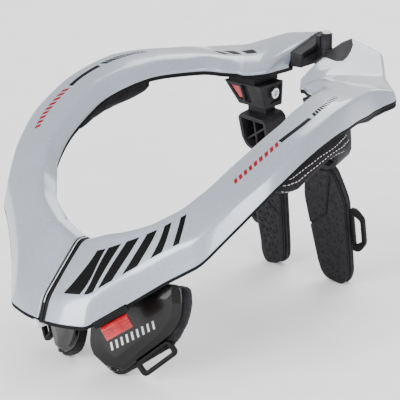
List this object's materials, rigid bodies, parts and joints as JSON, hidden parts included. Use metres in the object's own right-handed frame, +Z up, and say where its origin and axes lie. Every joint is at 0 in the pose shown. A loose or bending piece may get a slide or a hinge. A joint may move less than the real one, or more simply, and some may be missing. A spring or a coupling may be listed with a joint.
{
  "type": "motocross neck brace",
  "caption": "Hinged rigid ring that surrounds a rider's neck, with padded arms, two chest rests at the front and two fold-back struts at the rear.",
  "frame": {"origin": "middle of the footprint, on the surface that the brace stands on", "axes": "+X towards the wearer's left, +Y towards the back of the brace, +Z up"},
  "size_m": [0.2308, 0.3094, 0.1787],
  "materials": {
    "shell_white": "glossy painted moulding",
    "tray_black": "satin moulding",
    "plate_gloss_black": "gloss moulding",
    "strut_grey": "fine grained moulding",
    "pad_foam": "closed cell foam",
    "lever_red": "smooth moulding",
    "pin_grey": "smooth moulding",
    "screw_steel": "bright plated"
  },
  "bodies": {
    "left_half": {"shell_left": "shell_white", "tray_left": "tray_black", "seam_strip_left": "tray_black", "hinge_cap_left": "tray_black", "shoulder_pad_left": "pad_foam", "chest_plate_left": "plate_gloss_black", "chest_pad_left": "pad_foam", "chest_loop_left": "strut_grey", "strut_bracket_left": "strut_grey", "angle_wedge_left": "lever_red", "strut_screw_left": "screw_steel", "latch_bar": "tray_black", "hinge_pin": "screw_steel"},
    "right_half": {"shell_right": "shell_white", "tray_right": "tray_black", "seam_strip_right": "tray_black", "hinge_cap_right": "tray_black", "shoulder_pad_right": "pad_foam", "chest_plate_right": "plate_gloss_black", "chest_pad_right": "pad_foam", "chest_loop_right": "strut_grey", "strut_bracket_right": "strut_grey", "angle_wedge_right": "lever_red", "strut_screw_right": "screw_steel", "latch_pin": "pin_grey"},
    "strut_left": {"strut_head_left": "strut_grey", "strut_leg_left": "strut_grey", "strut_pad_left": "pad_foam", "strut_loop_left": "strut_grey"},
    "strut_right": {"strut_head_right": "strut_grey", "strut_leg_right": "strut_grey", "strut_pad_right": "pad_foam", "strut_loop_right": "strut_grey"},
    "release_lever": {"release_tab": "lever_red"}
  },
  "joints": [
    {"name": "ring_hinge", "type": "hinge", "parent": "left_half", "child": "right_half", "pos_m": [0, 0.13986, 0.165], "axis": [0, 0, -1], "range_deg": [0, 35]},
    {"name": "strut_fold_left", "type": "hinge", "parent": "left_half", "child": "strut_left", "pos_m": [0.032, 0.10505, 0.13672], "axis": [1, 0, 0], "range_deg": [-5, 10]},
    {"name": "strut_fold_right", "type": "hinge", "parent": "right_half", "child": "strut_right", "pos_m": [-0.032, 0.10505, 0.13672], "axis": [1, 0, 0], "range_deg": [-5, 10]},
    {"name": "release_pull", "type": "hinge", "parent": "left_half", "child": "release_lever", "pos_m": [0.04445, -0.13419, 0.05401], "axis": [-0.6023, -0.6265, -0.4947], "range_deg": [0, 20]}
  ]
}
